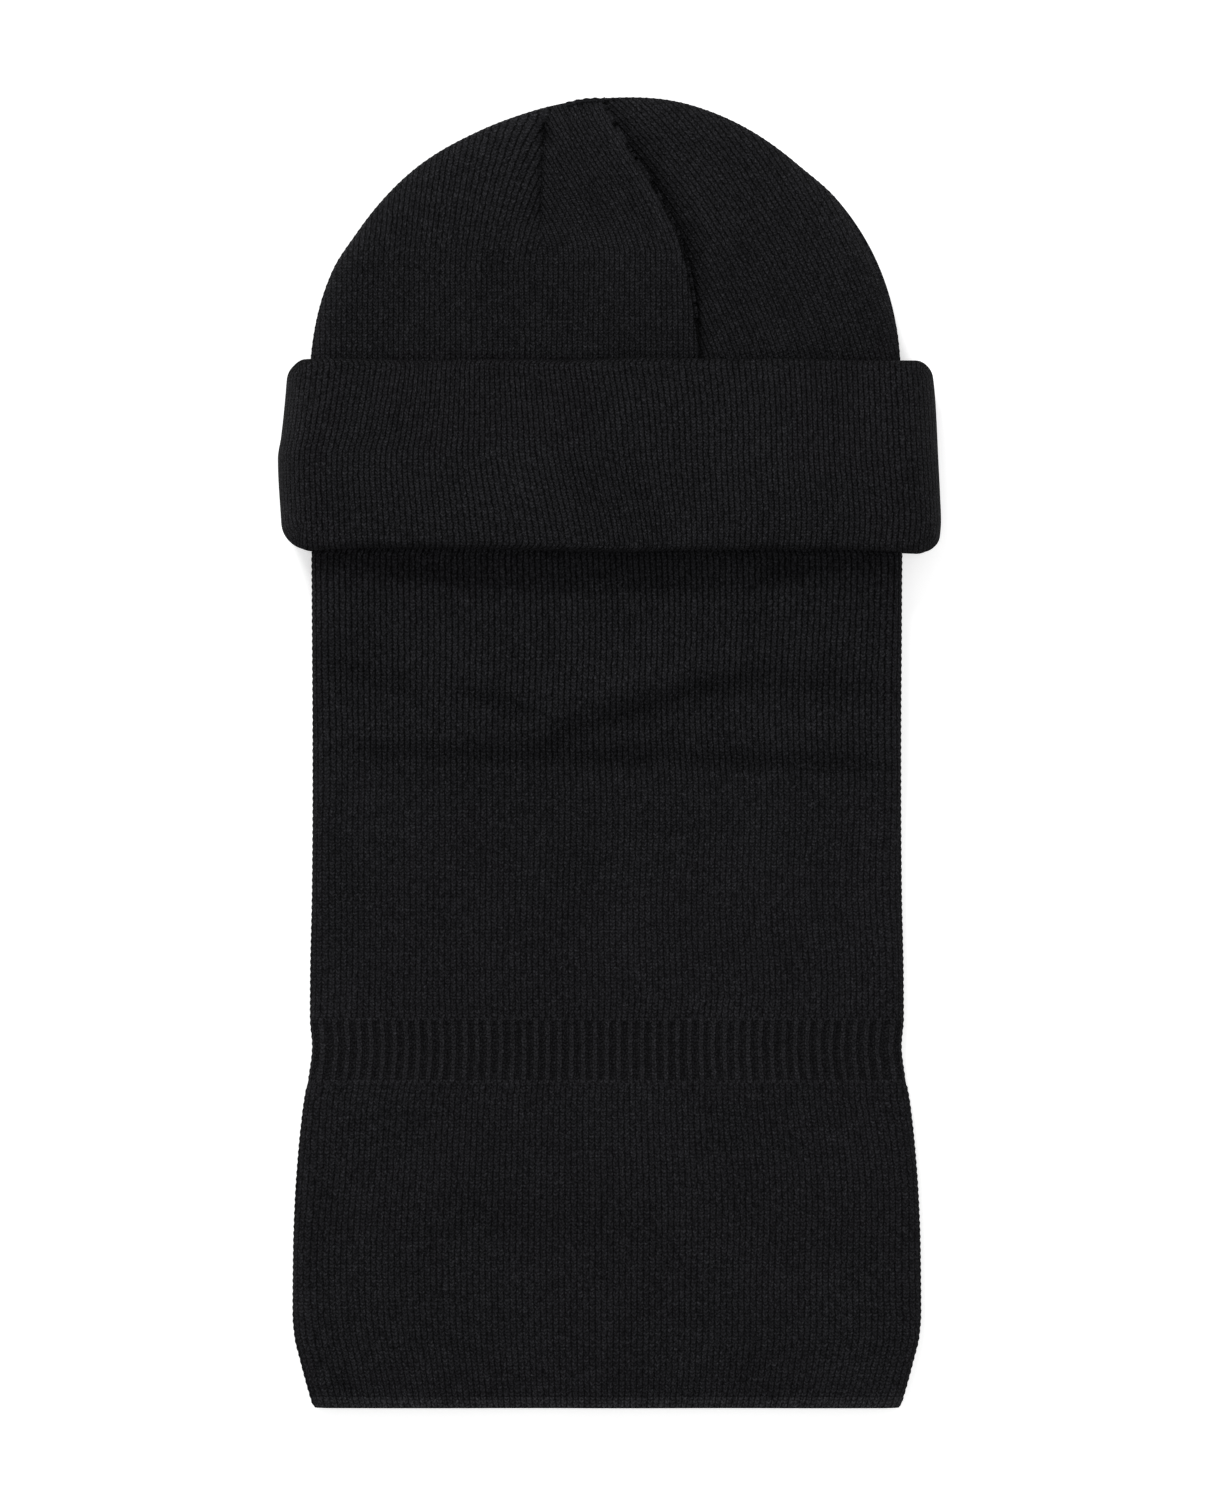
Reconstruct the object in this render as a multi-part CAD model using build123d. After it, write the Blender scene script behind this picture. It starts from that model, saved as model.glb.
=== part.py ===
from build123d import *
import os

# A fine-knit balaclava with a turned-up cuff, a long neck tube, a narrow rib band and a flared skirt.
# It lies flat on its back: X is its width, +Y runs from the hem to the crown, +Z is up through its layers.
# The origin is on the surface it lies on, under the middle of its box. Everything is in millimetres.

os.makedirs("parts", exist_ok=True)

# Lengths along Y
crown_height = 99.7  # from the cuff's top edge to the tip of the crown
cuff_depth = 72.9
neck_length = 177.1  # from the cuff's lower fold to the rib band
rib_depth = 24.7
skirt_length = 123.6
hem_depth = 4.2
tuck_depth = 62.0  # how far the neck tube runs up inside the cuff
welt_depth = 5.0  # the edging of the face opening, at the top of the tucked tube

# Half widths along X
crown_half = 113.1
cuff_half_top = 122.9
cuff_half_low = 125.2
tucked_half = 108.2
neck_half = 112.2
neck_waist_half = 111.3
rib_half = 111.0
skirt_half = 118.9
hem_half = 112.0
seam_width = 2.2  # the linked side seams
label_half = 16.0

# Thicknesses and gaps along Z
wall = 2.0  # one layer of the knit
clear = 0.3  # air between layers that aren't sewn together
head_gap = 5.0  # room inside the flattened tube
cuff_front_thick = 6.0
cuff_back_thick = 4.2
ply_parting = 0.2  # between the two plies of the cuff
label_thick = 0.5
dart_bead = 1.4

# Places along Y
apex_y = (crown_height + cuff_depth + neck_length + rib_depth + skirt_length) / 2
cuff_top_y = apex_y - crown_height
fold_y = cuff_top_y - cuff_depth
rib_top_y = fold_y - neck_length
rib_low_y = rib_top_y - rib_depth
hem_y = rib_low_y - skirt_length
hem_top_y = hem_y + hem_depth

# Levels along Z inside the cuff, from the surface up
crown_back_z = cuff_back_thick + clear
neck_back_z = crown_back_z + wall + clear
neck_front_z = neck_back_z + wall + head_gap
crown_front_z = neck_front_z + wall + clear
cuff_front_z = crown_front_z + wall + clear
cuff_lip_z = crown_back_z + 0.4  # where the front cuff's wrapped ends stop, just above the back cuff
tube_front_z = wall + head_gap  # the front wall where the tube lies on the surface

# Hinge lines. Each cuff half turns about the middle of its own rounded fold.
cuff_front_r = cuff_front_thick / 2
cuff_back_r = cuff_back_thick / 2
crown_low_y = fold_y + cuff_front_r
tuck_top_y = crown_low_y + tuck_depth
skirt_split = 0.2  # half the gap at the skirt's fold line

tall = 60.0  # taller than the whole part
wide = 400.0  # wider than the whole part


def band(low, high):
    """A wall whose YZ section lies between two lines of points, as wide as any outline."""
    section = make_face(Polyline(*low, *reversed(high), close=True))
    return extrude(Plane.YZ * section, amount=wide / 2, both=True)


def layer(line, thick=wall):
    """A wall of one thickness whose underside follows a line of (y, z) points."""
    return band(line, [(y, z + thick) for y, z in line])


def cut_out(solid, outline):
    """The part of a solid that lies inside an outline in plan."""
    return solid & extrude(outline, amount=tall, both=True)


def both_sides(right_edge, low, high):
    """A closed outline from its right-hand edge, mirrored about the middle."""
    (low_x, low_y), (high_x, high_y) = low, high
    edges = right_edge + mirror(right_edge, about=Plane.YZ) + Line((-low_x, low_y), (low_x, low_y))
    if high_x > 0:
        edges += Line((-high_x, high_y), (high_x, high_y))
    return make_face(edges)


def crown_outline(low_y, inset=0.0):
    """The beanie's plan: straight sides behind the cuff, then a dome."""
    half = crown_half - inset
    top = crown_height - inset
    dome = [(1.0, 0.0), (0.956, 0.237), (0.855, 0.465), (0.689, 0.694), (0.496, 0.847), (0.26, 0.962), (0.0, 1.0)]
    curve = Spline(*[(half * x, cuff_top_y + top * y) for x, y in dome], tangents=[(0, 1), (-1, 0)])
    return both_sides(Line((half, low_y), (half, cuff_top_y)) + curve, (half, low_y), (0, apex_y))


def neck_outline(low_y, high_y, inset=0.0):
    """The neck tube's plan, drawn in where it is tucked up inside the cuff."""
    points = [
        (rib_half, low_y),
        (rib_half, rib_low_y + 12),
        (neck_half, rib_top_y),
        (neck_waist_half, rib_top_y + 60),
        (neck_half, fold_y - 8),
        (tucked_half, fold_y - 1),
        (tucked_half, high_y),
    ]
    points = [(x - inset, y) for x, y in points]
    return both_sides(Polyline(*points), points[0], points[-1])


def skirt_outline(low_y, high_y, inset=0.0):
    """The skirt's plan: flared below the rib band, then drawn in to the hem."""
    flare = [(rib_half, high_y), (117.0, rib_low_y - 28), (skirt_half, rib_low_y - 66), (skirt_half, hem_y + 34)]
    flare = [(x - inset, y) for x, y in flare]
    corner = (hem_half - inset, low_y)
    return both_sides(Spline(*flare) + Line(flare[-1], corner), corner, flare[0])


def cuff_outline(inset=0.0):
    """The cuff's plan, a little wider at its fold, with softly rounded corners."""
    low, top = fold_y, cuff_top_y
    points = [(0, low), (cuff_half_low, low), (cuff_half_low, low + 26), (cuff_half_top, top), (0, top)]
    points = [(max(x - inset, 0), y) for x, y in points]
    edge = FilletPolyline(*points, radius=[12.0, 40.0, 6.5])
    return make_face(edge + mirror(edge, about=Plane.YZ))


def side_seams(solid, outer, inner):
    """The right and left strips of a solid between two outlines."""
    strips = cut_out(solid, outer) - extrude(inner, amount=tall, both=True)
    right = strips & Pos(wide / 4, 0, 0) * Box(wide / 2, 2 * wide, 2 * tall)
    left = mirror(right, about=Plane.YZ)
    return left, right


def save(name, shape):
    export_step(Part(shape.solids()) if len(shape.solids()) > 1 else shape.solid(), f"parts/{name}.step")


# The undersides of the layers, as (y, z) lines. Straight ramps join the levels.
crown_back_line = [(crown_low_y, crown_back_z), (cuff_top_y + 2, crown_back_z), (cuff_top_y + 30, 0), (apex_y, 0)]
crown_front_line = [
    (crown_low_y, crown_front_z),
    (cuff_top_y + 4, crown_front_z),
    (cuff_top_y + 38, 11.0),
    (apex_y, tube_front_z),
]
neck_back_line = [
    (rib_top_y, 0),
    (-27, 0),
    (5, crown_back_z),
    (fold_y - 12, crown_back_z),
    (fold_y, neck_back_z),
    (tuck_top_y, neck_back_z),
]
neck_front_line = [
    (rib_top_y, tube_front_z),
    (-27, tube_front_z),
    (5, 11.4),
    (fold_y - 18, 11.4),
    (fold_y, neck_front_z),
    (tuck_top_y, neck_front_z),
]
rib_back_line = [(rib_low_y + skirt_split, 0), (rib_top_y, 0)]
rib_front_line = [(rib_low_y + skirt_split, tube_front_z), (rib_top_y, tube_front_z)]


def raised(line, height):
    """The same line, higher up."""
    return [(y, z + height) for y, z in line]


# The beanie: a front and a back panel, linked round the edge and gathered at the tip
crown_plan = crown_outline(crown_low_y)
crown_inner_plan = crown_outline(crown_low_y - 10, inset=seam_width)
crown_gap = band(raised(crown_back_line, wall), crown_front_line)
crown_seam_left, crown_seam_right = side_seams(crown_gap, crown_plan, crown_inner_plan)
save("crown_front", cut_out(layer(crown_front_line), crown_plan))
save("crown_back", cut_out(layer(crown_back_line), crown_plan))

gather_half = 8.0
gather_block = Pos(0, apex_y, 0) * Box(2 * gather_half, 30, 2 * tall)
gather = cut_out(crown_gap, crown_plan) & gather_block
save("crown_tip_gather", gather - extrude(crown_outline(crown_low_y, inset=5.0), amount=tall, both=True))
save("crown_side_seam_left", crown_seam_left - gather_block)
save("crown_side_seam_right", crown_seam_right - gather_block)


# The darts: each is a seam allowance on the inside of its panel, running down from near the tip
def dart(top, bottom, line, above):
    """A bead of seam allowance against the inner side of a wall."""
    run = Polyline(top, bottom)
    strip = make_face(offset(run, amount=dart_bead, side=Side.BOTH))
    surface = raised(line, wall) if above else raised(line, -dart_bead)
    return cut_out(layer(surface, dart_bead), strip)


left_dart = ((-24.5, apex_y - 16), (-26.4, apex_y - 50))
right_dart = ((13.0, apex_y - 14), (28.7, apex_y - 60))
back_dart = ((23.0, apex_y - 16), (26.0, apex_y - 50))
back_dart_left = tuple((-x, y) for x, y in back_dart)
save("dart_seam_front_left", dart(*left_dart, crown_front_line, above=False))
save("dart_seam_front_right", dart(*right_dart, crown_front_line, above=False))
save("dart_seam_back_right", dart(*back_dart, crown_back_line, above=True))
save("dart_seam_back_left", dart(*back_dart_left, crown_back_line, above=True))

# The neck tube: its upper end is tucked up inside the cuff, linked to the crown at the back and open in front
neck_plan = neck_outline(rib_low_y - 1, tuck_top_y + 1)
neck_inner_plan = neck_outline(rib_low_y - 10, tuck_top_y + 10, inset=seam_width)
tube_back_line = [(rib_low_y + skirt_split, 0)] + neck_back_line[1:]
tube_front_line = [(rib_low_y + skirt_split, tube_front_z)] + neck_front_line[1:]
tube_gap = band(raised(tube_back_line, wall), tube_front_line)
neck_seam_left, neck_seam_right = side_seams(tube_gap, neck_plan, neck_inner_plan)
save("neck_front", cut_out(layer(neck_front_line), neck_plan))
save("neck_back", cut_out(layer(neck_back_line), neck_plan))
save("neck_side_seam_left", neck_seam_left)
save("neck_side_seam_right", neck_seam_right)
save("rib_band_front", cut_out(layer(rib_front_line), neck_plan))
save("rib_band_back", cut_out(layer(rib_back_line), neck_plan))


def cross_bar(low_z, half):
    """A straight strip across the top edge of the tucked tube."""
    bar = Box(2 * half, welt_depth, wall, align=(Align.CENTER, Align.MIN, Align.MIN))
    return Pos(0, tuck_top_y, low_z) * bar


save("face_edge_welt", cross_bar(neck_front_z, tucked_half))
save("neck_linking_seam", cross_bar(neck_back_z, tucked_half))
label = Box(2 * label_half, 28, label_thick, align=(Align.CENTER, Align.MAX, Align.MIN))
save("care_label", Pos(40, tuck_top_y, neck_back_z + wall) * label)


# The cuff: each half is two plies of one turned-up band, rounded at the fold and at the free edge
def cuff_plies(low_z, thick):
    """The upper and lower ply of one half of the cuff."""
    middle = Pos((fold_y + cuff_top_y) / 2, low_z + thick / 2)
    section = middle * SlotOverall(cuff_depth, thick)
    ply = Rectangle(wide, thick, align=(Align.CENTER, Align.MIN))
    upper = section & (middle * Pos(0, ply_parting / 2) * ply)
    lower = section & (middle * Pos(0, -ply_parting / 2 - thick) * ply)
    return [cut_out(extrude(Plane.YZ * half, amount=wide / 2, both=True), cuff_outline()) for half in (upper, lower)]


front_outer, front_inner = cuff_plies(cuff_front_z, cuff_front_thick)
back_inner, back_outer = cuff_plies(0, cuff_back_thick)
save("cuff_front_outer", front_outer)
save("cuff_front_inner", front_inner)
save("cuff_back_outer", back_outer)
save("cuff_back_inner", back_inner)

# The wrapped ends of the cuff, which close its sides and turn down with the front half
lip_line = [(fold_y, cuff_lip_z), (cuff_top_y, cuff_lip_z)]
lip_top = [(fold_y, cuff_front_z), (cuff_top_y, cuff_front_z)]
lip_width = 5.2
lips = side_seams(band(lip_line, lip_top), cuff_outline(), cuff_outline(inset=lip_width))
lip_length = cuff_depth - 2 * 11.0
lip_stretch = Pos(0, fold_y + cuff_depth / 2, 0) * Box(wide, lip_length, 2 * tall)
for side, lip in zip(("left", "right"), lips):
    save(f"cuff_wrap_{side}", lip & lip_stretch)

# The skirt, which folds up over the neck along the rib band's lower edge
skirt_plan = skirt_outline(hem_y, rib_low_y)
skirt_inner_plan = skirt_outline(hem_y - 10, rib_low_y + 10, inset=seam_width)
skirt_top_y = rib_low_y - skirt_split
skirt_back_line = [(hem_top_y, 0), (skirt_top_y, 0)]
skirt_front_line = [(hem_top_y, tube_front_z), (skirt_top_y, tube_front_z)]
hem_back_line = [(hem_y, 0), (hem_top_y, 0)]
hem_front_line = [(hem_y, tube_front_z), (hem_top_y, tube_front_z)]
skirt_gap = band([(hem_y, wall), (skirt_top_y, wall)], [(hem_y, tube_front_z), (skirt_top_y, tube_front_z)])
skirt_seam_left, skirt_seam_right = side_seams(skirt_gap, skirt_plan, skirt_inner_plan)
save("skirt_front", cut_out(layer(skirt_front_line), skirt_plan))
save("skirt_back", cut_out(layer(skirt_back_line), skirt_plan))
save("hem_front", cut_out(layer(hem_front_line), skirt_plan))
save("hem_back", cut_out(layer(hem_back_line), skirt_plan))
save("skirt_side_seam_left", skirt_seam_left)
save("skirt_side_seam_right", skirt_seam_right)

print("cuff front axis y, z:", round(fold_y + cuff_front_r, 3), round(cuff_front_z + cuff_front_r, 3))
print("cuff back axis y, z:", round(fold_y + cuff_back_r, 3), round(cuff_back_r, 3))
print("skirt fold y:", round(rib_low_y, 3), "hem y:", round(hem_y, 3), "apex y:", round(apex_y, 3))
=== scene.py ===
# %% [markdown]
# # A knit balaclava, laid flat
#
# The object is one long hood of fine black knit: a beanie crown, a turned-up cuff, a neck tube, a
# narrow rib band and a flared skirt. It lies on its back, so every panel is nearly a flat sheet whose
# edges roll round to the panel behind it. This lesson builds each panel as a grid of stitches, shapes it
# by moving the grid's points, gives it the thickness of the yarn, and finishes it with a stitch pattern
# that reads the grid's own map.

# %% Load the frame
import math

import bmesh
import bpy
import numpy as np
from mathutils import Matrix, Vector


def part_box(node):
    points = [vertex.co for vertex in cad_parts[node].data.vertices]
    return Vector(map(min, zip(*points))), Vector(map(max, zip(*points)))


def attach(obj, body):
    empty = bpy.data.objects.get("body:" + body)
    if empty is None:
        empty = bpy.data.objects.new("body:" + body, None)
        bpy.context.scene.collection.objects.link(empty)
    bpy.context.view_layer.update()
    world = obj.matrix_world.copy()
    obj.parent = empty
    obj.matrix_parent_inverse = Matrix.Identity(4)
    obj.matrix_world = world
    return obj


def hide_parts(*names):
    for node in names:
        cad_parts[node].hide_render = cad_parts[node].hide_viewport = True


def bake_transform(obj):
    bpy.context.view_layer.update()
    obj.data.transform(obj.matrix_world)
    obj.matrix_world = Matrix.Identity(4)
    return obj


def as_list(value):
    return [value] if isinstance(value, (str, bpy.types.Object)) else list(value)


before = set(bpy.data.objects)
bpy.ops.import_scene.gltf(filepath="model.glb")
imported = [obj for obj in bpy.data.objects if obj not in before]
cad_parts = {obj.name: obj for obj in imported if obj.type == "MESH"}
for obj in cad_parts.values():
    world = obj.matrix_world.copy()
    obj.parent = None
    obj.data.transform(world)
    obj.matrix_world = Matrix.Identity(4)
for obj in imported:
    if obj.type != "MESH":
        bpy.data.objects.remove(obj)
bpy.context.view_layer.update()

# %% [markdown]
# The frame says where each part is. The sizes below are read from it, in millimetres, because a knitter
# thinks in millimetres and stitches. X is the width, Y runs from the hem up to the crown, and Z is the
# height above the table.

# %% Places read from the frame
MM = 0.001


def box_mm(node):
    """A node's lowest and highest corners in millimetres."""
    low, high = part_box(node)
    return np.array(low) / MM, np.array(high) / MM


crown_low, crown_high = box_mm("crown_front")
cuff_low, cuff_high = box_mm("cuff_front_outer")
cuff_under, _ = box_mm("cuff_front_inner")
pad_low, _ = box_mm("cuff_back_outer")
_, pad_top = box_mm("cuff_back_inner")
wrap_low, _ = box_mm("cuff_wrap_left")
neck_low, neck_high = box_mm("neck_front")
rib_low, rib_high = box_mm("rib_band_front")
_, skirt_high = box_mm("skirt_front")
hem_low, hem_high = box_mm("hem_front")

apex_y = crown_high[1]
cuff_top_y = cuff_high[1]
fold_y = cuff_low[1]
tuck_y = neck_high[1]
rib_top_y = neck_low[1]
rib_low_y = (rib_low[1] + skirt_high[1]) / 2
hem_top_y = hem_high[1]
hem_y = hem_low[1]
tube_top = skirt_high[2]
inner_top = neck_high[2]
crown_top = crown_high[2]
print("cuff from", round(fold_y, 1), "to", round(cuff_top_y, 1), "and hem at", round(hem_y, 1))

# %% [markdown]
# ## Stitches
# A knit is counted, not measured: a wale is one column of stitches and a course is one row. Each panel
# carries a map, called `stitches`, whose U counts wales and whose V counts courses. The materials read
# only that map, so the pattern follows the cloth wherever the cloth goes.

# %% Gauge of the knit
crown_wale, crown_course = 2.0, 1.33  # millimetres from one to the next
neck_course = 1.38
skirt_course = 1.44
yarn_wall = 1.7  # how thick one layer of the knit is
touching = 0.02  # points nearer to each other than this, in millimetres, become one
crisp = math.radians(62)  # faces that meet at more than this keep a sharp edge
UV_NAME = "stitches"
print("a crown stitch is", crown_wale, "by", crown_course, "mm, in knit", yarn_wall, "mm thick")


def smooth_line(points, at):
    """A smooth curve through (place, value) points, read at many places."""
    place, value = np.array(sorted(points), float).T
    rise = np.diff(value) / np.diff(place)
    before, after = np.append(rise[0], rise), np.append(rise, rise[-1])
    same_way = before * after > 0
    slope = np.where(same_way, 2 * before * after / np.where(same_way, before + after, 1), 0)
    at = np.clip(at, place[0], place[-1])
    i = np.clip(np.searchsorted(place, at) - 1, 0, len(place) - 2)
    step = place[i + 1] - place[i]
    f = (at - place[i]) / step
    start = (1 + 2 * f) * (1 - f) ** 2 * value[i] + f * (1 - f) ** 2 * step * slope[i]
    return start + f**2 * (3 - 2 * f) * value[i + 1] - f**2 * (1 - f) * step * slope[i + 1]


def ease(x):
    """0 below 0, 1 above 1, and smooth between."""
    x = np.clip(x, 0, 1)
    return x * x * (3 - 2 * x)


def quarter_round(inside, radius):
    """0 at a border, 1 from radius inwards, along a quarter circle."""
    share = np.clip(inside / radius, 0, 1)
    return np.sqrt(1 - (1 - share) ** 2)


def bell(distance, width):
    """1 where the distance is 0, fading smoothly on both sides."""
    return np.exp(-((distance / width) ** 2))


def rows_of(*columns):
    """One row for each point, from its x, y and z or its U and V."""
    return np.stack(columns, axis=1)


def ripple(x, y, size, seed):
    """Slow uneven waves about as long as size, mostly from -1 to 1, the same on every run."""
    draw = np.random.default_rng(seed)
    total = np.zeros_like(x)
    waves = zip(draw.uniform(0, math.pi, 5), draw.uniform(0.7, 1.5, 5), draw.uniform(0, 6.28, 5))
    for turn, stretch, phase in waves:
        along = x * math.cos(turn) + y * math.sin(turn)
        total += np.sin(along * 2 * math.pi / (size * stretch) + phase)
    return total / 3


def soft_fold(x, y, start, end, height, width):
    """A ridge, or a valley where height is negative, along a straight line that fades at its ends."""
    start, end = np.array(start, float), np.array(end, float)
    run = end - start
    length = np.hypot(*run)
    along = ((x - start[0]) * run[0] + (y - start[1]) * run[1]) / length**2
    aside = ((x - start[0]) * run[1] - (y - start[1]) * run[0]) / length
    fade = np.exp(-((2 * along - 1) ** 4) * 2.2)
    return height * fade * bell(aside, width)

# %% [markdown]
# ## One way to make every panel
# A flattened tube has a front and a back panel. Across the width, each panel is a quarter-round edge, a
# flat middle, and a quarter-round edge. `tube_section` lays a share of that arc, from 0 at the left edge
# to 1 at the right, so the wales stay the same distance apart even where they roll over the edge.

# %% The section of a flattened tube
def tube_section(share, left, right, middle, level, edge):
    """x and z across one panel. middle is the height of its edges and level that of its flat part."""
    lift = np.abs(level - middle)
    corner = math.pi / 4 * np.sqrt(2 * (edge**2 + lift**2))
    flat = right - left - 2 * edge
    run = share * (2 * corner + flat)
    near = np.clip(run / corner, 0, 1) * math.pi / 2
    far = np.clip((2 * corner + flat - run) / corner, 0, 1) * math.pi / 2
    x = left + edge * (1 - np.cos(near)) + np.clip(run - corner, 0, flat) + edge * np.cos(far)
    rise = np.sin(near) * np.sin(far)
    return x, middle + (level - middle) * rise, rise

# %% [markdown]
# Every panel starts as a flat grid. A function of the grid's two shares, s across and t along, gives each
# point its place, and another gives its count of wales and courses. That keeps the shape and the stitch
# pattern together, so neither can slide on the other.

# %% A grid of stitches
def wale_relief(wales, depth):
    """The height of the rounded wales and of the grooves between them, about 0 on average."""
    return depth * (np.abs(np.sin(math.pi * wales)) - 0.6)


def nothing(s, t, points):
    """A mark that is 0 everywhere."""
    return np.zeros_like(s)


def counted(wales, courses):
    """A stitch map that counts so many wales across the grid and so many courses along it."""
    return lambda s, t, points: rows_of(s * wales, t * courses)


def add_patch(bm, columns, rows, place, stitches, painted_shade=nothing, even=nothing):
    """A grid of columns by rows, moved to place(s, t) and mapped by stitches(s, t, points).

    The two marks are kept on the points for the materials. The first is painted shade: how much darker
    a point is painted where it lies in a furrow, a crease or a recess, where shade falls, and, below 0,
    a painted highlight. The second, even, is how flat and grid-like the knit is there, which paints the
    shade in its gaps lighter. They are functions like stitches.
    """
    layer = bm.loops.layers.uv.get(UV_NAME) or bm.loops.layers.uv.new(UV_NAME)
    marks = [bm.verts.layers.float.get(n) or bm.verts.layers.float.new(n) for n in ("painted_shade", "even")]
    verts = bmesh.ops.create_grid(bm, x_segments=columns, y_segments=rows, size=0.5)["verts"]
    share = np.array([v.co[:2] for v in verts]) + 0.5
    points = place(share[:, 0], share[:, 1])
    knit = stitches(share[:, 0], share[:, 1], points)
    for vert, point in zip(verts, points * MM):
        vert.co = point
    for mark, values in zip(marks, (painted_shade(*share.T, points), even(*share.T, points))):
        for vert, value in zip(verts, values):
            vert[mark] = value
    of_vert = dict(zip(verts, knit))
    for face in {f for v in verts for f in v.link_faces}:
        for loop in face.loops:
            loop[layer].uv = of_vert[loop.vert]

# %% [markdown]
# One layer of knit is a good millimetre and a half thick. Solidify gives that wall to a whole panel at
# once, seams and folds included, where extruding each panel by hand would leave gaps at the joins.

# %% Closing a piece
scene = bpy.context.scene


def add_object(name, data):
    """A new object in the scene around a mesh, a lamp or a camera."""
    thing = bpy.data.objects.new(name, data)
    scene.collection.objects.link(thing)
    return thing


def mesh_from(bm, name):
    """Writes a bmesh to a new mesh and frees it."""
    mesh = bpy.data.meshes.new(name)
    bm.to_mesh(mesh)
    bm.free()
    return mesh


def make_piece(bm, name, slot, body, nodes, thick=yarn_wall, merge=touching):
    """Closes a bmesh as a piece: its mesh, its wall and its material. It is hung on its body where that
    is one name, otherwise its place is baked into its mesh, and the nodes it stands for are hidden.

    The wall grows along each point's normal. Sliver faces, and points left in the middle of an edge,
    would throw a corner of it far out, so they are cleaned away first.
    """
    gentle_turn = 0.7  # radians
    bmesh.ops.remove_doubles(bm, verts=bm.verts, dist=merge * MM)
    bmesh.ops.dissolve_degenerate(bm, dist=touching * MM, edges=bm.edges)
    spare = [v for v in bm.verts if len(v.link_edges) == 2 and v.calc_edge_angle(1.0) < gentle_turn]
    bmesh.ops.dissolve_verts(bm, verts=spare)
    mesh = mesh_from(bm, name)
    piece = add_object(name, mesh)
    if thick:
        wall = piece.modifiers.new("wall", "SOLIDIFY")
        wall.thickness = thick * MM
        wall.offset = -1
        graph = bpy.context.evaluated_depsgraph_get()
        mesh = bpy.data.meshes.new_from_object(piece.evaluated_get(graph))
        piece.modifiers.clear()
        piece.data = mesh
    mesh.polygons.foreach_set("use_smooth", [True] * len(mesh.polygons))
    mesh.set_sharp_from_angle(angle=crisp)
    mesh.materials.append(finish_of[slot])
    if isinstance(body, str):
        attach(piece, body)
    else:
        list(body)
        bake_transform(piece)
    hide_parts(*nodes)
    print(name, len(mesh.polygons), "faces")
    return piece


def grid_piece(name, slot, body, nodes, columns, rows, place, stitches, flip=False, marks=None, **wall):
    """A piece made of one grid. flip turns its faces down; marks and wall go to the two helpers above."""
    bm = bmesh.new()
    add_patch(bm, columns, rows, place, stitches, **(marks or {}))
    if flip:
        bmesh.ops.reverse_faces(bm, faces=bm.faces)
    return make_piece(bm, name, slot, body, nodes, **wall)

# %% [markdown]
# ## The camera, the table and the light
# The garment is looked at from straight above, through a long lens, on a white table under a wide soft
# light. The light comes a little from the crown's side, so folds and the cuff's lower edge show.

# %% Camera, table and lights
def set_inputs(node, values):
    """Sets a node's inputs by their names."""
    for label, value in values.items():
        node.inputs[label].default_value = value


scene.view_settings.view_transform = "Standard"

lens, sensor = 150.0, 36.0
view_height = 0.5719  # metres seen along Y at the table
view_middle = (-0.00095, 0.00095)
camera_data = bpy.data.cameras.new("camera")
camera_data.lens = lens
camera_data.sensor_width = sensor
camera = add_object("camera", camera_data)
camera.location = (*view_middle, view_height * lens / sensor)
scene.camera = camera

table_radius = 9.0
under_cloth = -0.0003  # the table's top is this little below the cloth
table_bm = bmesh.new()
bmesh.ops.create_circle(table_bm, cap_ends=True, segments=96, radius=table_radius)
bmesh.ops.translate(table_bm, verts=table_bm.verts, vec=(0, 0, under_cloth))
table = add_object("table", mesh_from(table_bm, "table"))

table_paint = bpy.data.materials.new("table_paint")
table_paint.use_nodes = True
pale = {"Base Color": (0.93, 0.93, 0.93, 1), "Roughness": 0.9}
own_light = {"Emission Color": (1, 1, 1, 1), "Emission Strength": 0.5}  # keeps the shadows faint
set_inputs(table_paint.node_tree.nodes["Principled BSDF"], pale | own_light)
table.data.materials.append(table_paint)


def soft_light(name, place, size, power):
    """A square lamp that looks at the garment."""
    lamp = bpy.data.lights.new(name, "AREA")
    lamp.size = size
    lamp.energy = power
    holder = add_object(name, lamp)
    holder.location = place
    back = holder.location.normalized()
    holder.rotation_euler = back.to_track_quat("Z", "Y").to_euler()
    holder.visible_camera = False


soft_light("key", place=(-1.1, 2.5, 1.9), size=1.2, power=70)
soft_light("fill", place=(1.0, -0.8, 2.9), size=2.4, power=20)
world = bpy.data.worlds.new("studio")
scene.world = world
world.use_nodes = True
set_inputs(world.node_tree.nodes["Background"], {"Color": (1, 1, 1, 1), "Strength": 0.5})
print("the camera is", round(camera.location.z, 2), "m above the table")

# %% [markdown]
# ## The knit as a material
# Plain knit looks like columns of small Vs. Each wale has two legs of yarn that lean out from its
# middle, and a groove divides it from the next. The pattern could be painted or displaced, but as a node
# group on the stitch map it costs nothing and is sharp at any distance. The group counts stitches: the
# part of U after the point says where across a wale a spot is, and the part of V, shifted by how far it
# is from the wale's middle, makes the Vs.

# %% Small helpers for node trees
def math_node(tree, operation, *values):
    """A Math node whose inputs are numbers or other nodes' sockets."""
    node = tree.nodes.new("ShaderNodeMath")
    node.operation = operation
    for socket, value in zip(node.inputs, values):
        if isinstance(value, (int, float)):
            socket.default_value = value
        else:
            tree.links.new(value, socket)
    return node.outputs[0]


def new_group(name, inputs, outputs):
    """An empty shader group with named number or vector sockets."""
    group = bpy.data.node_groups.new(name, "ShaderNodeTree")
    for label, kind, value in inputs:
        socket = group.interface.new_socket(label, in_out="INPUT", socket_type=kind)
        if value is not None:
            socket.default_value = value
    for label in outputs:
        group.interface.new_socket(label, in_out="OUTPUT", socket_type="NodeSocketFloat")
    entry = group.nodes.new("NodeGroupInput")
    leave = group.nodes.new("NodeGroupOutput")
    return group, entry.outputs, leave.inputs

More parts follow.
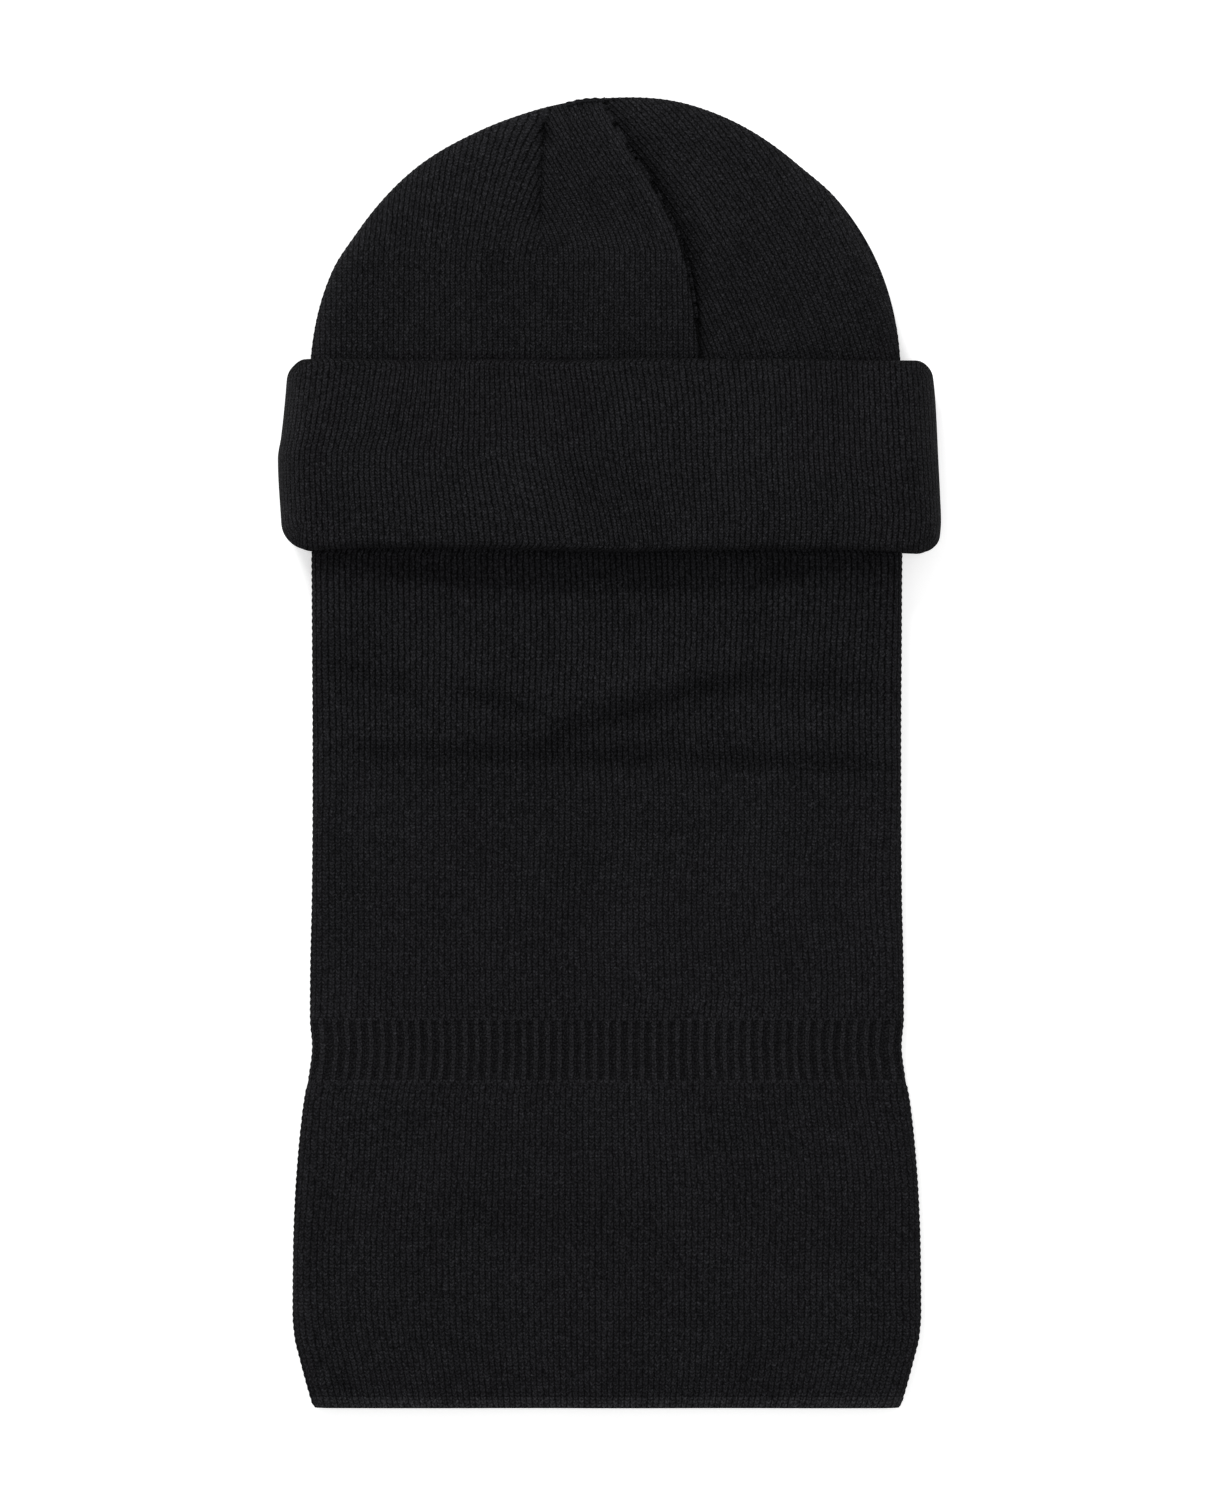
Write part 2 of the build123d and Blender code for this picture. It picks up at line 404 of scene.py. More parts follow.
# %% The stitch pattern
stitch_group, given, gives = new_group(
    "stitch_pattern",
    [
        ("Stitches", "NodeSocketVector", None),
        ("Lean", "NodeSocketFloat", 0.6),
        ("Wobble", "NodeSocketFloat", 0.3),
        ("Gap Width", "NodeSocketFloat", 3.5),
    ],
    ["Height", "Gap", "Row Gap", "Stitch Tone"],
)


def stitch_math(operation, *values):
    return math_node(stitch_group, operation, *values)


def stitch_noise(scale, detail):
    """Noise that is about as fine as one stitch at a scale of 1."""
    noise = stitch_group.nodes.new("ShaderNodeTexNoise")
    set_inputs(noise, {"Scale": scale, "Detail": detail})
    stitch_group.links.new(given["Stitches"], noise.inputs["Vector"])
    return noise.outputs["Fac"]


apart = stitch_group.nodes.new("ShaderNodeSeparateXYZ")
stitch_group.links.new(given["Stitches"], apart.inputs[0])
drift = stitch_math("MULTIPLY", stitch_math("SUBTRACT", stitch_noise(0.4, 1.0), 0.5), given["Wobble"])
jitter = stitch_math("MULTIPLY", stitch_math("SUBTRACT", stitch_noise(1.1, 1.0), 0.5), 0.5)
wale = stitch_math("ADD", apart.outputs["X"], stitch_math("ADD", drift, jitter))
course = stitch_math("MULTIPLY_ADD", drift, 3.0, apart.outputs["Y"])
from_middle = stitch_math("ABSOLUTE", stitch_math("SUBTRACT", stitch_math("FRACT", wale), 0.5))
aside = stitch_math("MULTIPLY", from_middle, 2.0)
leaned = stitch_math("SUBTRACT", course, stitch_math("MULTIPLY", aside, given["Lean"]))
leg = stitch_math("SINE", stitch_math("MULTIPLY", aside, math.pi))
dome = stitch_math("SUBTRACT", 1.0, stitch_math("POWER", aside, 3.0))
rounded = stitch_math("MULTIPLY_ADD", leg, 0.4, stitch_math("MULTIPLY", dome, 0.6))
swell = stitch_math("SINE", stitch_math("MULTIPLY", stitch_math("FRACT", leaned), math.pi))
height = stitch_math("MULTIPLY", rounded, stitch_math("MULTIPLY_ADD", swell, 0.55, 0.45))
stitch_group.links.new(height, gives["Height"])
broken = stitch_math("MAXIMUM", stitch_math("MULTIPLY_ADD", stitch_noise(0.9, 2.0), 2.0, -0.1), 0.1)
gap = stitch_math("MULTIPLY", stitch_math("POWER", aside, given["Gap Width"]), broken)
row_gap = stitch_math("POWER", stitch_math("SUBTRACT", 1.0, swell), 2.0)
stitch_group.links.new(row_gap, gives["Row Gap"])
stitch_group.links.new(stitch_math("MINIMUM", gap, 1.0), gives["Gap"])
cell = stitch_group.nodes.new("ShaderNodeCombineXYZ")
stitch_group.links.new(stitch_math("FLOOR", stitch_math("MULTIPLY", wale, 2.0)), cell.inputs[0])
stitch_group.links.new(stitch_math("FLOOR", leaned), cell.inputs[1])
each = stitch_group.nodes.new("ShaderNodeTexWhiteNoise")
each.noise_dimensions = "2D"
stitch_group.links.new(cell.outputs[0], each.inputs["Vector"])
stitch_group.links.new(each.outputs["Value"], gives["Stitch Tone"])

# %% [markdown]
# Yarn is never one colour or perfectly smooth. Short fibres stand out of it and catch the light as pale
# specks, and a garment that has been handled is a little uneven over its surface. Both are the same for
# every panel, so they are a second group.

# %% Fibres and unevenness
fuzz_group, given, gives = new_group(
    "yarn_fuzz",
    [("Position", "NodeSocketVector", None), ("Fibre Size", "NodeSocketFloat", 1400.0)],
    ["Specks", "Unevenness", "Nap"],
)


def fuzz_noise(scale, detail, roughness):
    """Noise over the piece's own place, at a scale given as a number or a socket."""
    noise = fuzz_group.nodes.new("ShaderNodeTexNoise")
    set_inputs(noise, {"Detail": detail, "Roughness": roughness})
    fuzz_group.links.new(given["Position"], noise.inputs["Vector"])
    if isinstance(scale, (int, float)):
        noise.inputs["Scale"].default_value = scale
    else:
        fuzz_group.links.new(scale, noise.inputs["Scale"])
    return noise.outputs["Fac"]


speck_above, speck_gain = 0.56, 9.0  # only the nap's highest spots are fibre ends, and they are bright
patches_per_metre = 26.0
nap = fuzz_noise(given["Fibre Size"], 2.0, 0.8)
fuzz_group.links.new(nap, gives["Nap"])
bright = math_node(fuzz_group, "MAXIMUM", math_node(fuzz_group, "SUBTRACT", nap, speck_above), 0.0)
fuzz_group.links.new(math_node(fuzz_group, "MULTIPLY", bright, speck_gain), gives["Specks"])
fuzz_group.links.new(fuzz_noise(patches_per_metre, 3.0, 0.6), gives["Unevenness"])

# %% The knit materials
finish_of = {}


def knit_material(name, colour, bump=0.5, gap=0.85, lean=0.6, tone=0.6, fibre=1500.0):
    """Matte yarn in plain knit. colour is linear.

    bump is the stitches' height in millimetres, gap how dark the painted shade in the gaps between
    wales is, lean how far the legs of a stitch slant, tone how much stitches differ, and fibre how fine
    the nap is.
    """
    material = bpy.data.materials.new(name + "_finish")
    finish_of[name] = material
    material.use_nodes = True
    tree = material.node_tree
    shader = tree.nodes["Principled BSDF"]
    uv = tree.nodes.new("ShaderNodeUVMap")
    uv.uv_map = UV_NAME
    place = tree.nodes.new("ShaderNodeTexCoord")
    stitch = tree.nodes.new("ShaderNodeGroup")
    stitch.node_tree = stitch_group
    stitch.inputs["Lean"].default_value = lean
    tree.links.new(uv.outputs["UV"], stitch.inputs["Stitches"])
    fuzz = tree.nodes.new("ShaderNodeGroup")
    fuzz.node_tree = fuzz_group
    fuzz.inputs["Fibre Size"].default_value = fibre
    tree.links.new(place.outputs["Object"], fuzz.inputs["Position"])

    # The mark of painted shade and the mark of evenness, read from the points.
    painted_shade = tree.nodes.new("ShaderNodeAttribute")
    painted_shade.attribute_name = "painted_shade"
    even = tree.nodes.new("ShaderNodeAttribute")
    even.attribute_name = "even"

    def scaled(value, by, plus):
        return math_node(tree, "MULTIPLY_ADD", value, by, plus)

    # Painted shade in the gaps between wales and between rows: lighter on an even knit, darker where the
    # mark of painted shade is.
    gap_even = scaled(even.outputs["Fac"], gap * 0.6, -gap)  # an even knit has shallower gaps
    gap_shade_strength = scaled(painted_shade.outputs["Fac"], -0.6, gap_even)  # and a furrow has deeper ones
    gap_painted_shade = scaled(stitch.outputs["Gap"], gap_shade_strength, 1.0)
    row_gap_shade = scaled(even.outputs["Fac"], -0.2, -0.25)
    # Painted light in the colour: darker down the sides of each stitch, in the gaps and under the mark of
    # painted shade, where shade falls, and lighter on stitch crests and where that mark is below 0.
    # Stitch tone, unevenness and nap are the yarn's own.
    factors = [
        scaled(stitch.outputs["Height"], 1.0, 0.42),
        math_node(tree, "MAXIMUM", gap_painted_shade, 0.03),
        scaled(stitch.outputs["Row Gap"], row_gap_shade, 1.0),
        scaled(stitch.outputs["Stitch Tone"], tone, 1 - tone / 2),
        scaled(fuzz.outputs["Unevenness"], 0.6, 0.7),
        scaled(fuzz.outputs["Nap"], 2.9, -0.45),
        scaled(painted_shade.outputs["Fac"], -0.9, 1.0),
    ]
    shade = factors[0]
    for factor in factors[1:]:
        shade = math_node(tree, "MULTIPLY", shade, factor)
    lit = math_node(tree, "ADD", shade, fuzz.outputs["Specks"])
    tint = tree.nodes.new("ShaderNodeVectorMath")
    tint.operation = "SCALE"
    tint.inputs[0].default_value = colour
    tree.links.new(lit, tint.inputs["Scale"])
    tree.links.new(tint.outputs[0], shader.inputs["Base Color"])

    bumps = tree.nodes.new("ShaderNodeBump")
    set_inputs(bumps, {"Strength": 1.0, "Distance": bump * MM})
    fibre_height = scaled(fuzz.outputs["Nap"], 0.5, stitch.outputs["Height"])
    tree.links.new(fibre_height, bumps.inputs["Height"])
    tree.links.new(bumps.outputs["Normal"], shader.inputs["Normal"])
    set_inputs(shader, {"Roughness": 0.95, "Specular IOR Level": 0.04})
    set_inputs(shader, {"Sheen Weight": 0.004, "Sheen Roughness": 0.45})
    set_inputs(shader, {"Sheen Tint": (0.9, 0.86, 0.84, 1)})


black = (0.011, 0.011, 0.0123)
knit_material("crown_knit", (0.0115, 0.0115, 0.0128))
knit_material("cuff_knit", (0.0116, 0.0116, 0.0129))
knit_material("neck_knit", black)
knit_material("rib_knit", (0.0128, 0.0128, 0.0142), gap=0.35, tone=0.3)
knit_material("skirt_knit", black)
# Painted sheen: the hem is the same black yarn, painted lighter where its rolled edge catches the light.
knit_material("hem_knit", (0.0175, 0.0175, 0.0192))
knit_material("linking_yarn", black, bump=0.3, gap=0.5)
knit_material("label_tape", (0.02, 0.02, 0.022), bump=0.1, gap=0.2, lean=0.0)
print(len(finish_of), "finishes:", ", ".join(finish_of))

# %% [markdown]
# ## The shape of the tube
# The edges of the neck, rib band and skirt are one smooth outline, drawn in at the rib band and flared
# below it. Its points are half widths along Y. The heights are lines along Y too: the front lies on the
# back, and both climb where they go up under the thick cuff.

# %% Outline and levels of the tube
tube_shift = -1.0  # the tube lies a little left of the cuff's middle
neck_half, rib_half = neck_high[0] + 0.5, rib_high[0]
skirt_half, hem_half = skirt_high[0] + 0.5, hem_high[0] - 0.8
half_line = [
    (hem_y, hem_half - 0.9),
    (hem_y + 1.5, hem_half - 0.1),
    (hem_y + 5, hem_half + 1.0),
    (hem_y + 19, skirt_half - 2.6),
    (hem_y + 27, skirt_half - 0.7),
    (hem_y + 36, skirt_half),
    (hem_y + 60, skirt_half - 0.2),
    (rib_low_y - 44, skirt_half - 0.9),
    (rib_low_y - 28, skirt_half - 2.0),
    (rib_low_y - 13, skirt_half - 3.5),
    (rib_low_y - 5, rib_half + 2.6),
    (rib_low_y + 3, rib_half + 1.0),
    (rib_low_y + 14, rib_half - 0.2),
    (rib_top_y, rib_half + 0.6),
    (rib_top_y + 17, neck_half),
    (rib_top_y + 50, neck_half - 0.7),
    (rib_top_y + 110, neck_half - 1.1),
    (fold_y - 30, neck_half - 0.9),
    (fold_y - 1, neck_half - 0.8),
    (fold_y + 3, neck_half - 3.6),
    (tuck_y, neck_half - 4.4),
]
front_line = [
    (hem_y, tube_top - 2.6),
    (hem_y + 16, tube_top - 0.9),
    (hem_y + 50, tube_top - 0.3),
    (rib_low_y - 12, tube_top - 0.5),
    (rib_low_y + 12, tube_top - 1.0),
    (rib_top_y + 8, tube_top - 0.4),
    (-45, tube_top),
    (-20, tube_top + 1.2),
    (5, tube_top + 3.4),
    (35, tube_top + 4.2),
    (fold_y - 16, tube_top + 4.4),
    (fold_y - 2, inner_top - 0.6),
    (tuck_y, inner_top - 0.1),
]
on_table, raised, tucked = 0.05, 4.8, 6.9
back_line = [
    (hem_y, on_table),
    (-28, on_table),
    (-10, 2.6),
    (6, 4.7),
    (fold_y - 14, raised),
    (fold_y, tucked),
    (tuck_y, tucked),
]
edge_round = 8.0


def tube_sides(y):
    """The left and right edges and the edges' height, all along Y."""
    half = smooth_line(half_line, y)
    middle = (smooth_line(front_line, y) + np.interp(y, *zip(*back_line))) / 2
    return tube_shift - half, tube_shift + half, middle


def tube_cross(s, y, front):
    """x, z and the rise from the edge, across the front or the back panel."""
    left, right, middle = tube_sides(y)
    level = smooth_line(front_line, y) if front else np.interp(y, *zip(*back_line))
    return tube_section(s, left, right, middle, level, edge_round)

# %% [markdown]
# The panels of the tube share one relief: slow waves, the wrinkles, and the rounded wales. Because it is
# a function of the place and not of the panel, two panels that meet have the same height along the join.

# %% Relief and panels of the tube
tube_folds = []  # each is (start, end, height, width); later cells add the wrinkles to it


def tube_relief(x, y):
    """The tube's slow waves and wrinkles, the same for every panel so that they meet."""
    total = ripple(x, y * 1.5, 85, 3) * 0.4 + ripple(x, y, 36, 22) * 0.1
    for fold in tube_folds:
        total = total + 1.4 * soft_fold(x, y, *fold)
    return total


def wale_depth(y):
    """How far the wales stand out: most where the cloth is drawn together under the cuff."""
    near_cuff = ease((y - fold_y + 75) / 55)
    at_rib = ease(np.abs(y - (rib_top_y + rib_low_y) / 2) / 3 - 4.4)
    return (0.09 + 0.3 * near_cuff) * at_rib


def tube_painted_shade(s, t, points):
    """Painted shade in the furrows, by a share of how far a point lies below the smooth cloth."""
    x, y = points[:, 0], points[:, 1]
    deep = sum(soft_fold(x, y, *fold) for fold in tube_folds if fold[2] < 0)
    return np.clip(-0.3 * deep, 0, 1)


def tube_even(s, t, points):
    """The neck's stitches look flatter and more even away from the cuff."""
    return ease((fold_y - 62 - points[:, 1]) / 45)


def tube_panel(name, node, slot, body, y_of, wales, per_wale, rows, course):
    """One panel of the tube between two places along Y, as a grid that follows the wales."""
    front = node.endswith("front")

    def place(s, t):
        y = y_of(t)
        x, z, rise = tube_cross(s, y, front)
        x = x + ripple(x, y, 95, 11) * 0.9 * rise * ease(np.abs(y - rib_top_y + 12) / 8 - 1.5)
        if front:
            z = z + (tube_relief(x, y) + wale_relief(s * wales, wale_depth(y))) * rise
        return rows_of(x, y, z)

    def stitches(s, t, points):
        return rows_of(s * wales, points[:, 1] / course)

    # The front carries painted shade in its furrows.
    marks = {"painted_shade": tube_painted_shade, "even": tube_even} if front else {"even": tube_even}
    columns = wales * per_wale
    return grid_piece(name, slot, body, [node], columns, rows, place, stitches, not front, marks)


def tube_pair(stem, ending, slot, body, y_of, wales, rows, course):
    """The front and back panels of one stretch of the tube. The back is seen less, so it is coarser."""
    return [
        tube_panel(f"{stem}_{side}_{ending}", f"{stem}_{side}", slot, body, y_of, wales, *grid, course)
        for side, grid in (("front", (4, rows[0])), ("back", (2, rows[1])))
    ]

# %% [markdown]
# ## The neck tube
# The neck's front hangs from the thick cuff down to the table, and the spare length gathers in soft
# wrinkles just below the cuff. A cloth simulation could find such wrinkles, but these have known places,
# so each one is a low ridge or valley laid along its own line.

# %% Neck panels
tube_folds += [
    ((-97, 72), (-38, 63), -1.0, 4.4),
    ((-60, 64), (66, 63), -0.8, 5.0),
    ((52, 64), (84, 71), -0.8, 4.0),
    ((-80, 56), (70, 55), 0.6, 6.0),
    ((-112, 34), (-60, 22), -0.7, 5.0),
    ((-60, 24), (-26, 13), -1.1, 3.6),
    ((-64, 32), (-20, 21), 0.6, 5.0),
    ((-28, 1), (-2, 12), -1.1, 4.2),
    ((-6, 11), (24, 19), -1.3, 4.8),
    ((18, 18), (60, 29), -1.3, 4.6),
    ((52, 26), (108, 24), -0.7, 4.5),
    ((-30, 12), (52, 38), 1.0, 6.0),
    ((-108, 1), (-40, -2), -1.0, 4.0),
    ((-62, -1), (26, -3), -1.0, 4.2),
    ((-14, -2), (62, -3), -0.5, 4.0),
    ((30, -3), (110, -5), -1.2, 4.2),
    ((-60, 8), (-20, 6), 0.6, 4.0),
    ((30, 10), (106, 9), 0.7, 5.5),
    ((-30, -12), (70, -13), 0.4, 6.0),
    ((-20, -28), (60, -30), -0.5, 4.0),
]
neck_wales = 103


def neck_rows(t):
    return np.interp(t, [0, 0.88, 1], [rib_top_y, fold_y + 4, tuck_y])


neck_front, neck_back = tube_pair(
    "neck", "panel", "neck_knit", "beanie", neck_rows, neck_wales, (96, 60), neck_course
)

# %% [markdown]
# ## The rib band
# A rib is raised wales beside sunken ones, so it pulls the tube in. Here about fifty ribs go across, and
# each sunken channel starts under a small arch where the plain knit above it ends. The tube can fold
# along the lower edge of the band.

# %% Rib band
ribs = 51
channel_depth = 0.95
half_bend = 6.6
fold_start = (0, (rib_low_y + half_bend) * MM, 0)
fold_end = (0, (rib_low_y - half_bend) * MM, 0)
across_fold = ("beanie", "skirt", fold_start, fold_end)


def rib_sunk_share(s, y):
    """1 at the bottom of a sunken channel and 0 on a rib; channels start under small arches."""
    across = np.abs(np.sin(math.pi * s * ribs))
    channel = ease((0.76 - across) / 0.45)
    arch = rib_top_y - 0.3 - 1.6 * across**2
    return channel * ease((arch - y) / 1.5) * ease((y - rib_low_y) / 1.8)


def rib_panel(name, nodes, front):
    """The front or the back of the band; the back's channels are half as deep."""

    def place(s, t):
        y = rib_low_y + t * (rib_top_y - rib_low_y)
        x, z, rise = tube_cross(s, y, front)
        shape = -channel_depth * rib_sunk_share(s, y) * rise
        lift = shape + tube_relief(x, y) * rise if front else -shape * 0.5
        return rows_of(x, y, z + lift)

    def stitches(s, t, points):
        return rows_of(s * ribs * 2 - 0.5, points[:, 1] / neck_course)

    # Painted shade: the sunken channels are painted darker, where shade falls in them, as are the tube's
    # furrows.
    def painted_shade(s, t, points):
        return 0.48 * rib_sunk_share(s, points[:, 1]) + tube_painted_shade(s, t, points)

    marks = {"painted_shade": painted_shade, "even": tube_even}
    columns, rows = ribs * 8, 40
    return grid_piece(
        name, "rib_knit", across_fold, nodes, columns, rows, place, stitches, not front, marks
    )


rib_front = rib_panel("rib_band_front_panel", ["rib_band_front"], True)
rib_back = rib_panel("rib_band_back_panel", ["rib_band_back"], False)

# %% [markdown]
# ## The skirt
# Below the rib band the tube flares and ends in a linked hem. The skirt can fold up along the rib band,
# so its rows are close together there, to keep such a bend round.

# %% Skirt and hem
tube_folds += [
    ((-106, hem_y + 11), (-95, hem_y + 7), -0.7, 2.6),
    ((-80, rib_low_y - 50), (24, rib_low_y - 56), -0.4, 9.0),
    ((-40, rib_low_y - 30), (60, rib_low_y - 34), 0.3, 10.0),
]


def skirt_rows(t):
    return np.interp(t, [0, 0.78, 1], [hem_top_y, rib_low_y - 9, rib_low_y])


def hem_rows(t):
    return hem_y + t * (hem_top_y - hem_y)


skirt_wales = 106
skirt_front, skirt_back = tube_pair(
    "skirt", "panel", "skirt_knit", across_fold, skirt_rows, skirt_wales, (76, 60), skirt_course
)
hem_front, hem_back = tube_pair(
    "hem", "edge", "hem_knit", "skirt", hem_rows, skirt_wales, (6, 4), skirt_course
)

# %% [markdown]
# ## The crown
# The beanie's crown is a dome laid flat. Its outline is nearly a half ellipse, a little fuller low on
# the left. It could be one grid, but the front has a dart and a long pleat where the wales meet at an
# angle, so it is three gores that share those lines. Each gore leans its own wales.

# %% Outline of the crown
crown_shift = -1.2
crown_half = crown_high[0]
crown_tall = apex_y - cuff_top_y + 0.2
crown_outline = [
    (0, crown_half - crown_tall - 1.6),
    (18, 9.8),
    (35, 7.0),
    (46, 4.2),
    (64, 3.0),
    (74, 2.3),
    (91, -0.1),
    (108, -0.9),
    (118, -0.2),
    (134, 2.9),
    (153, 6.6),
    (162, 9.6),
    (180, crown_half - crown_tall - 0.9),
]  # degrees from +X, and how much further than straight up the outline is there


def crown_reach(angle):
    """How far the crown's outline is from the middle of the cuff's top edge, at an angle from +X."""
    return crown_tall + smooth_line(crown_outline, np.degrees(angle))


def crown_edge(t, side, top_angle):
    """The crown's outline from behind the cuff, t = 0, up to an angle near the tip, t = 1."""
    low = crown_low[1]
    straight = 0.32  # the share of t that runs straight up behind the cuff
    y = low + (cuff_top_y - low) * np.minimum(t / straight, 1)
    start = 0.0 if side > 0 else math.pi
    angle = start + (top_angle - start) * np.clip((t - straight) / (1 - straight), 0, 1)
    reach = crown_reach(angle)
    x = np.where(t < straight, side * crown_reach(start), reach * np.cos(angle))
    y = np.where(t < straight, y, cuff_top_y + reach * np.sin(angle))
    return x + crown_shift, y


def crown_inside(x, y):
    """0 on the crown's outline, growing inwards, about in millimetres."""
    across, up = x - crown_shift, np.maximum(y - cuff_top_y, 0)
    angle = np.arctan2(up, across)
    return crown_reach(angle) - np.hypot(across, up)


crown_front_line = [
    (crown_low[1], crown_top),
    (cuff_top_y - 5, crown_top - 0.5),
    (cuff_top_y + 2, crown_top - 2.2),
    (cuff_top_y + 14, crown_top - 3.0),
    (cuff_top_y + 38, crown_top - 4.2),
    (cuff_top_y + 70, crown_top - 7.0),
    (apex_y, crown_top - 10.0),
]
crown_back_line = [(crown_low[1], 4.6), (cuff_top_y + 2, 4.6), (cuff_top_y + 30, 0.1), (apex_y, 0.1)]
crown_round = 11.0  # how far in from the outline the edge is rounded


def crown_levels(y):
    """The heights of the front, of the back, and of the edge where they meet."""
    front = smooth_line(crown_front_line, y)
    back = np.interp(y, *zip(*crown_back_line))
    return front, back, front * 0.45 + back * 0.55


def crown_surface(x, y, front=True):
    """The height of the crown and how far up its rounded edge a point is."""
    top, low, middle = crown_levels(y)
    level = top if front else low
    rise = quarter_round(crown_inside(x, y), crown_round)
    return middle + (level - middle) * rise, rise

# %% [markdown]
# The dart runs down from near the tip for some forty millimetres, and the pleat runs from the gather to
# the cuff. Both are curves given by a few points of Y and X.

# %% Dart and pleat lines
dart_line = [
    (crown_low[1], -27.5),
    (apex_y - 50, -26.4),
    (apex_y - 9, -24.4),
    (apex_y - 2.6, -20.5),
]
pleat_line = [
    (crown_low[1], 34.2),
    (cuff_top_y + 1, 33.4),
    (cuff_top_y + 18, 31.6),
    (cuff_top_y + 40, 27.6),
    (cuff_top_y + 63, 17.2),
    (cuff_top_y + 81, 6.0),
    (cuff_top_y + 96, -2.4),
    (apex_y - 0.2, -3.4),
]
gather_left, gather_right = math.radians(101.2), math.radians(91.2)


def dart_edge(t):
    """The dart's line, which ends exactly at the crown's outline so that the gores close there."""
    tip_x, tip_y = (v[0] for v in crown_edge(np.ones(1), -1, gather_left))
    y = crown_low[1] + (tip_y - crown_low[1]) * t
    miss = tip_x - smooth_line(dart_line, tip_y)
    return smooth_line(dart_line, y) + miss * ease((t - 0.9) / 0.1), y


def pleat_edge(t):
    low, high = crown_low[1], apex_y - 0.1
    y = low + (high - low) * t
    return smooth_line(pleat_line, y), y

# %% [markdown]
# The pleat is a soft roll with a steep wall on its right, and the dart is a narrow furrow that ends in a
# small pit. Each is a bump whose height depends only on the distance from its line, so the relief is
# their sum, and the painted shade inside them follows the same lines.

# %% Relief of the crown
def pleat_strength(y):
    """The pleat fades out behind the cuff and is half as strong near the tip."""
    return ease((y - cuff_top_y + 14) / 30) * (0.5 + 0.5 * ease((apex_y - 5 - y) / 22))


def dart_furrow(x, y):
    """How far a point is from the dart's line, and how closed the dart is there."""
    closing = ease((y - apex_y + 54) / 12) * ease((apex_y - 3 - y) / 6)
    return np.abs(x - smooth_line(dart_line, y)), closing


def pit_share(x, y, wide, tall):
    """1 in the small pit at the dart's upper end, fading over a width and a height."""
    return np.exp(-(((x + 24.0) / wide) ** 2 + ((y - apex_y + 14) / tall) ** 2))


def crown_relief(x, y):
    """The pleat's roll and groove, the dart's furrow, the gather and a gentle unevenness."""
    beside = x - smooth_line(pleat_line, y)
    roll_height, roll_middle, roll_width = 2.0, 4.0, 5.0
    roll = roll_height * bell(beside + roll_middle, roll_width) * (beside < 0)
    edge_roll = roll_height * bell(roll_middle, roll_width)
    deep, wall = 3.0, 1.9
    groove = np.where(beside > 0, edge_roll - (edge_roll + deep) * ease(beside / wall), 0)
    shallower = -deep * np.exp(-((np.maximum(beside - wall, 0) / 8.0) ** 1.4))
    groove = np.where(beside > wall, shallower, groove)
    furrow, closing = dart_furrow(x, y)
    dart = (-1.3 * np.exp(-furrow / 1.4) - 0.5 * np.exp(-furrow / 6)) * closing
    pit = -1.8 * pit_share(x, y, 2.6, 4.0)
    drawn = np.exp(-(((y - apex_y + 2) / 9) ** 2) - ((x + 9) / 13) ** 2)
    gather = drawn * (0.5 * np.sin(x * 1.35) - 0.8)
    slow = ripple(x, y, 75, 31) * 0.6 + ripple(x, y, 30, 32) * 0.18
    return (roll + groove) * pleat_strength(y) + dart + pit + gather + slow


def crown_painted_shade(s, t, points):
    """Painted shade in the pleat's groove, the dart's furrow and pit, the crease over the cuff and low
    behind the cuff, and a painted highlight, below 0, on the pleat's crest.
    """
    x, y = points[:, 0], points[:, 1]
    beside = x - smooth_line(pleat_line, y)
    wide = 3.4 + 4.2 * ease((y - cuff_top_y - 20) / 40)
    past_edge = ease((beside + 0.3) / 0.9)
    # Painted shade in the pleat's groove and in the crease just above the cuff.
    in_pleat = past_edge * bell(np.maximum(beside, 0), wide) * pleat_strength(y)
    at_cuff = ease((cuff_top_y + 3.5 - y) / 4)
    furrow, closing = dart_furrow(x, y)
    # Painted shade in the dart's furrow and its pit.
    seam = 0.5 * np.exp(-furrow / 1.2) * closing + 0.35 * pit_share(x, y, 2.0, 3.5)
    # A painted highlight on the crest of the pleat's roll, and painted shade low on the crown behind the
    # cuff.
    crest = bell(beside + 2.6, 2.0) * (beside < 0) * ease((y - cuff_top_y - 24) / 30)
    behind_cuff = 0.1 * ease((cuff_top_y + 54 - y) / 26)
    return np.clip(0.8 * in_pleat + seam + 0.28 * at_cuff + behind_cuff - 0.22 * crest, -0.3, 1)


def crown_even(s, t, points):
    """The crown's stitches look more even near the cuff."""
    return 0.5 * ease((cuff_top_y + 60 - points[:, 1]) / 30)

# %% [markdown]
# The front's three gores meet along the dart and the pleat. In each one the wales lean as they do on the
# real crown, where stitches were taken away to close it: towards the dart on the left, along it in the
# middle, and slanting to the pleat on the right.

# %% Gores of the crown
peek = 1.7  # how far the back panel looks out past the front at the right edge


def crown_inset(y):
    """How much narrower the front panel is than the back one on the right."""
    return peek * ease((y - cuff_top_y - 10) / 16) * ease((apex_y - 36 - y) / 14)


def front_right_edge(t):
    x, y = crown_edge(t, 1, gather_right)
    return x - crown_inset(y), y - 0.3 * crown_inset(y)


def gore(bm, columns, rows, first, last, crowd, stitches_of):
    """One gore between two edge curves. crowd gathers its columns towards the first or the last edge."""

    def place(s, t):
        s = s**crowd if crowd >= 1 else 1 - (1 - s) ** (1 / crowd)
        x0, y0 = first(t)
        x1, y1 = last(t)
        x, y = x0 + (x1 - x0) * s, y0 + (y1 - y0) * s
        z, rise = crown_surface(x + crown_inset(y) * ease(x / 60), y)
        return rows_of(x, y, z + crown_relief(x, y) * rise)

    def stitches(s, t, points):
        x, y = points[:, 0], points[:, 1]
        wale, course = stitches_of(x, y)
        return rows_of(wale / crown_wale, course / crown_course)

    add_patch(bm, columns, rows, place, stitches, painted_shade=crown_painted_shade, even=crown_even)


chevron_y = 185  # above this place the courses tilt, so that the two sides meet in a chevron


